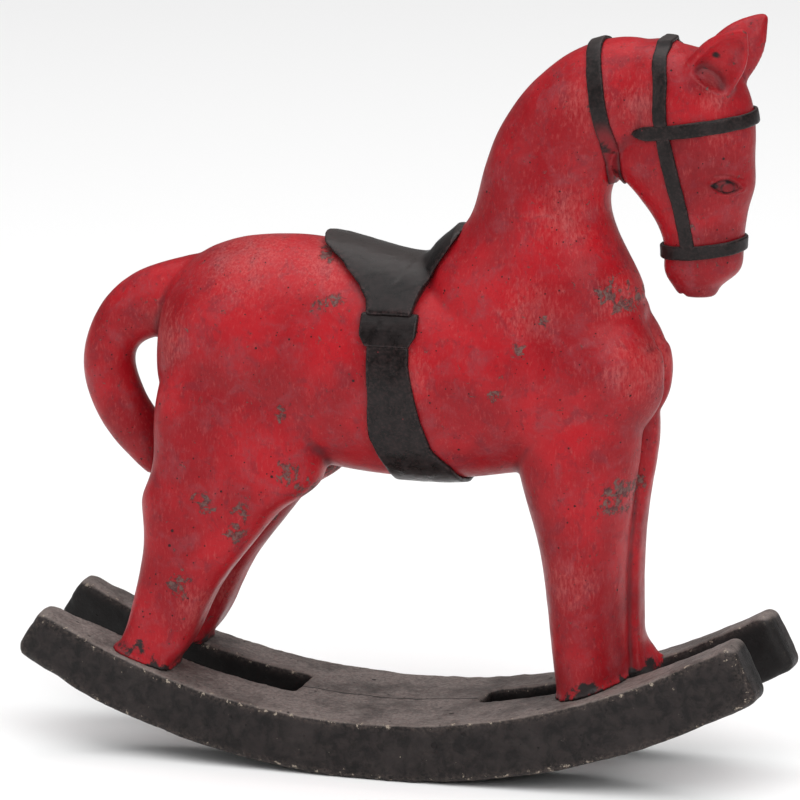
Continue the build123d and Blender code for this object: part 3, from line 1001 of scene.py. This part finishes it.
def painted_red():
    """Red paint over grey filler: mottled, brushed, pitted and worn through in patches, with pale pink
    that is partly rubbed paint and partly painted highlight, and painted shade in the hollows, the
    pits and the ear holes.
    """
    s = Shader("worn_red_paint")
    broad = s.noise(38, 3, 0.5)
    medium = s.noise(9, 6, 0.62, distortion=0.6)
    fine = s.noise(2.2, 6, 0.7)
    strokes = s.noise(1.2, 6, 0.7, s.stretched((1.0, 1.0, 0.34), 0.35), 0.5)
    clouds = s.noise(12, 7, 0.68, distortion=0.5)
    colour = s.mix(s.step(broad, 0.36, 0.64), (0.24, 0.0045, 0.009), (0.37, 0.008, 0.014))
    deep = s.math("MULTIPLY", s.read("deep"), s.step(medium, 0.25, 0.55, 0.6, 1.0))
    colour = s.mix(s.math("MULTIPLY", deep, 0.75), colour, (0.135, 0.003, 0.006))
    haze = s.math("MULTIPLY", s.step(clouds, 0.46, 0.70), s.step(fine, 0.3, 0.62, 0.35, 0.9))
    colour = s.mix(s.math("MULTIPLY", haze, 0.72), colour, (0.235, 0.040, 0.050))
    colour = s.mix(s.math("MULTIPLY", s.step(medium, 0.52, 0.68), 0.5), colour, (0.155, 0.012, 0.020))
    # Pale pink from the patch map and the brush strokes: partly rubbed paint, partly a painted
    # highlight.
    pale = s.math("ADD", s.math("MULTIPLY", s.read("pale"), 0.17), strokes)
    pale = s.math("MULTIPLY", s.step(pale, 0.50, 0.82), s.step(medium, 0.3, 0.6, 0.35, 1.0))
    colour = s.mix(s.math("MULTIPLY", pale, 0.38), colour, (0.56, 0.135, 0.125))
    colour = s.mix(s.math("MULTIPLY", s.step(fine, 0.55, 0.70), 0.45), colour, (0.115, 0.012, 0.018))
    # Painted shade: the hollows of the casting darker.
    colour = s.mix(s.math("MULTIPLY", s.read("hollow_shade"), 0.85), colour, (0.050, 0.006, 0.009))
    chip = s.noise(3.6, 10, 0.72, distortion=0.6)
    bare = s.math("ADD", chip, s.math("MULTIPLY", s.read("worn"), 0.17))
    bare = s.math("ADD", bare, s.math("MULTIPLY", s.read("edge"), 0.05))
    bare = s.step(bare, 0.635, 0.70)
    grey = s.mix(s.step(fine, 0.38, 0.62), (0.035, 0.028, 0.030), (0.115, 0.098, 0.085))
    colour = s.mix(s.math("MULTIPLY", bare, 0.8), colour, grey)
    ragged = s.math("MULTIPLY", s.noise(11, 6, 0.65), -2.3)
    near_deck = s.step(s.math("ADD", s.read("above_deck"), ragged), -1.18, -1.0, 1.0, 0.0)
    colour = s.mix(near_deck, colour, (0.022, 0.016, 0.016))
    # Pinholes painted near black: painted shade inside them.
    pits = s.math("MAXIMUM", s.pits(2.7, 0.34, 0.45), s.pits(8, 0.62, 0.30, 31.0))
    colour = s.mix(s.math("MULTIPLY", pits, 0.92), colour, (0.016, 0.007, 0.009))
    # The eye's dark paint, and painted shade in the ear holes.
    colour = s.mix(s.read("eye"), colour, (0.016, 0.008, 0.009))
    roughness = s.step(medium, 0.3, 0.7, 0.32, 0.48)
    roughness = s.math("ADD", roughness, s.math("MULTIPLY", bare, 0.25))
    height = s.math("ADD", s.math("MULTIPLY", medium, 0.6), s.math("MULTIPLY", strokes, 0.18))
    height = s.math("SUBTRACT", height, s.math("MULTIPLY", pits, 1.0))
    height = s.math("SUBTRACT", height, s.math("MULTIPLY", bare, 0.25))
    return s.finish(colour, roughness, height, 0.5, 0.2)


def painted_base():
    """Black-brown paint on rough cast stone with pale chips, dust and painted light on the upward
    faces, and painted shade in the hollows, the pits and under the deck between the rails.
    """
    s = Shader("worn_black_base")
    broad = s.noise(26, 4, 0.6)
    medium = s.noise(6, 8, 0.68, distortion=0.5)
    fine = s.noise(1.6, 6, 0.7)
    colour = s.mix(s.step(medium, 0.38, 0.62), (0.007, 0.0055, 0.0055), (0.022, 0.017, 0.0165))
    colour = s.mix(s.math("MULTIPLY", s.step(broad, 0.48, 0.66), 0.55), colour, (0.034, 0.027, 0.026))
    # Upward faces lighter: partly dust, partly painted light from the lamps above.
    painted_top_light = s.math("MULTIPLY", s.step(s.read("up"), 0.45, 0.82), s.step(broad, 0.3, 0.6, 0.45, 1.0))
    top_dust_and_light = s.mix(s.step(fine, 0.35, 0.65), (0.130, 0.106, 0.098), (0.25, 0.212, 0.196))
    colour = s.mix(painted_top_light, colour, top_dust_and_light)
    across = s.node("ShaderNodeSeparateXYZ")
    s.link(s.place, across.inputs[0])
    wander = s.math("MULTIPLY", s.math("SUBTRACT", s.noise(45, 3, 0.5), 0.5), 9.0)
    from_seam = s.math("ABSOLUTE", s.math("SUBTRACT", across.outputs[1], s.math("ADD", wander, 1.5)))
    seam = s.step(from_seam, 0.45, 1.1, 1.0, 0.0)
    colour = s.mix(s.math("MULTIPLY", seam, 0.85), colour, (0.008, 0.006, 0.006))
    rubbed = s.math("MULTIPLY", s.read("edge"), s.step(fine, 0.42, 0.62))
    colour = s.mix(s.math("MULTIPLY", rubbed, 0.45), colour, (0.10, 0.075, 0.065))
    chip = s.math("ADD", s.noise(3.0, 9, 0.72), s.math("MULTIPLY", s.read("edge"), 0.11))
    chip = s.step(chip, 0.69, 0.72)
    colour = s.mix(chip, colour, (0.30, 0.25, 0.20))
    # Painted shade: the hollows darker.
    colour = s.mix(s.math("MULTIPLY", s.read("hollow_shade"), 0.8), colour, (0.006, 0.005, 0.005))
    # Painted shade under the deck, between the rails.
    colour = s.mix(s.math("MULTIPLY", s.read("inside"), 0.9), colour, (0.006, 0.005, 0.005))
    # Pits painted near black: painted shade inside them.
    pits = s.math("MAXIMUM", s.pits(4, 0.6, 0.4), s.pits(11, 1.4, 0.35, 17.0))
    colour = s.mix(s.math("MULTIPLY", pits, 0.8), colour, (0.008, 0.006, 0.006))
    roughness = s.step(medium, 0.3, 0.7, 0.42, 0.62)
    height = s.math("ADD", s.math("MULTIPLY", medium, 1.2), s.math("MULTIPLY", fine, 0.3))
    height = s.math("SUBTRACT", height, pits)
    return s.finish(colour, roughness, height, 0.6, 0.22)


def painted_tack(name, sheen):
    """Satin black paint, brushed, with worn edges that show grey and a little red, and a painted
    highlight on the upward faces.
    """
    s = Shader(name)
    medium = s.noise(7, 6, 0.62, distortion=0.4)
    fine = s.noise(1.3, 5, 0.65)
    strokes = s.noise(1.0, 4, 0.55, s.stretched((0.15, 1.0, 1.0)))
    colour = s.mix(s.step(medium, 0.38, 0.66), (0.006, 0.0045, 0.0045), (0.015, 0.011, 0.011))
    # Painted highlight: upward faces lighter grey.
    painted_top_light = s.math("MULTIPLY", s.step(s.read("up"), 0.7, 1.0), 0.6)
    colour = s.mix(painted_top_light, colour, (0.055, 0.047, 0.045))
    rubbed = s.math("MULTIPLY", s.read("edge"), s.step(fine, 0.45, 0.62))
    colour = s.mix(s.math("MULTIPLY", rubbed, 0.45), colour, (0.085, 0.045, 0.045))
    faded = s.math("MULTIPLY", s.read("faded"), s.math("SUBTRACT", 1.0, s.read("edge"), True))
    colour = s.mix(s.math("MULTIPLY", faded, s.step(medium, 0.3, 0.5)), colour, (0.24, 0.012, 0.018))
    chips = s.math("ADD", s.noise(4.5, 8, 0.7), s.math("MULTIPLY", s.read("edge"), 0.05))
    chips = s.step(chips, 0.72, 0.75)
    colour = s.mix(s.math("MULTIPLY", chips, 0.7), colour, (0.13, 0.10, 0.095))
    dots = s.pits(6, 0.45, 0.22, 9.0)
    colour = s.mix(s.math("MULTIPLY", dots, 0.8), colour, (0.17, 0.02, 0.025))
    roughness = s.step(medium, 0.3, 0.7, sheen, sheen + 0.14)
    height = s.math("ADD", s.math("MULTIPLY", medium, 0.5), s.math("MULTIPLY", strokes, 0.15))
    return s.finish(colour, roughness, height, 0.35, 0.18)


def bare_steel():
    """Drawn steel rod, dull, with fine lengthwise marks and some rust."""
    s = Shader("drawn_steel")
    drawn = s.noise(0.6, 4, 0.6, s.stretched((1.0, 1.0, 0.08)))
    rust = s.noise(4, 6, 0.65)
    colour = s.mix(s.step(drawn, 0.3, 0.7), (0.30, 0.29, 0.28), (0.46, 0.45, 0.43))
    stained = s.step(rust, 0.58, 0.7)
    colour = s.mix(stained, colour, (0.16, 0.06, 0.03))
    s.link(s.step(rust, 0.58, 0.7, 1.0, 0.2), s.surface.inputs["Metallic"])
    return s.finish(colour, s.step(drawn, 0.3, 0.7, 0.3, 0.5), drawn, 0.05)


red_paint = painted_red()
base_paint = painted_base()
saddle_paint = painted_tack("satin_black_saddle", 0.24)
bridle_paint = painted_tack("satin_black_bridle", 0.36)
steel = bare_steel()


def dress(piece, node, material):
    """Gives a piece its material, hangs it on the root and hides the CAD node it stands for."""
    piece.data.materials.clear()
    piece.data.materials.append(material)
    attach(piece, "root")
    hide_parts(node)


for node, piece in red_pieces.items():
    dress(piece, node, red_paint)
for node, piece in base_pieces.items():
    dress(piece, node, base_paint)
for node, piece in tack_pieces.items():
    slot = TACK[node][4]
    dress(piece, node, saddle_paint if slot == "saddle_black" else bridle_paint)

# The steel inside the castings stays as the CAD made it, with a material of its own.
STEEL_NODES = (
    "rocker_cross_pins shell_locating_pegs right_foreleg_rod left_foreleg_rod "
    "right_hind_leg_rod left_hind_leg_rod neck_rod tail_wire"
).split()
for node in STEEL_NODES:
    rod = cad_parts[node]
    if not rod.data.materials:
        rod.data.materials.append(None)
    for material_slot in rod.material_slots:
        material_slot.link = "OBJECT"
        material_slot.material = steel


# ---------------------------------------------------------------- floor, light and camera


AIM = Vector((-0.0035, 0.0, 0.1689))
AZIMUTH = math.radians(17.0)
ELEVATION = math.radians(13.5)
DISTANCE = 6.0
VIEW_WIDTH = 0.368
SENSOR = 36.0
FLOOR_HALF = 6.0


def studio_floor():
    """A plain pale floor."""
    half = FLOOR_HALF
    corners = [(-half, -half, 0), (half, -half, 0), (half, half, 0), (-half, half, 0)]
    floor_mesh = bpy.data.meshes.new("studio_floor")
    floor_mesh.from_pydata(corners, [], [(0, 1, 2, 3)])
    floor = solid_object("studio_floor", floor_mesh)
    material = bpy.data.materials.new("pale_floor")
    material.use_nodes = True
    surface = material.node_tree.nodes["Principled BSDF"]
    surface.inputs["Base Color"].default_value = (0.92, 0.92, 0.92, 1)
    surface.inputs["Roughness"].default_value = 0.9
    surface.inputs["Specular IOR Level"].default_value = 0.1
    floor_mesh.materials.append(material)


def softbox(name, direction, distance, size, power, colour=(1, 1, 1)):
    """A soft rectangular light aimed at the middle of the horse."""
    lamp = bpy.data.lights.new(name, "AREA")
    lamp.shape = "RECTANGLE"
    lamp.size, lamp.size_y = size
    lamp.energy = power
    lamp.color = colour
    holder = bpy.data.objects.new(name, lamp)
    way = Vector(direction).normalized()
    holder.location = AIM + way * distance
    holder.rotation_euler = way.to_track_quat("Z", "Y").to_euler()
    bpy.context.scene.collection.objects.link(holder)


studio_floor()
softbox("ceiling", (0.05, -0.1, 1.0), 3.0, (5.0, 5.0), 168)
softbox("front_right", (0.9, -1.0, 0.75), 1.9, (0.9, 1.1), 12)
softbox("left_fill", (-0.9, -0.9, 0.5), 1.9, (0.9, 1.1), 5)
world = bpy.data.worlds.new("white_studio")
world.use_nodes = True
background = world.node_tree.nodes["Background"]
background.inputs["Color"].default_value = (1, 1, 1, 1)
background.inputs["Strength"].default_value = 0.22
bpy.context.scene.world = world
bpy.context.scene.view_settings.view_transform = "Standard"

camera_data = bpy.data.cameras.new("camera")
camera_data.sensor_width = SENSOR
camera_data.lens = SENSOR * DISTANCE / VIEW_WIDTH
camera_data.clip_end = 60.0
camera = bpy.data.objects.new("camera", camera_data)
toward_camera = Vector(
    (
        math.sin(AZIMUTH) * math.cos(ELEVATION),
        -math.cos(AZIMUTH) * math.cos(ELEVATION),
        math.sin(ELEVATION),
    )
)
camera.location = AIM + toward_camera * DISTANCE
camera.rotation_euler = toward_camera.to_track_quat("Z", "Y").to_euler()
bpy.context.scene.collection.objects.link(camera)
bpy.context.scene.camera = camera

bpy.context.view_layer.update()
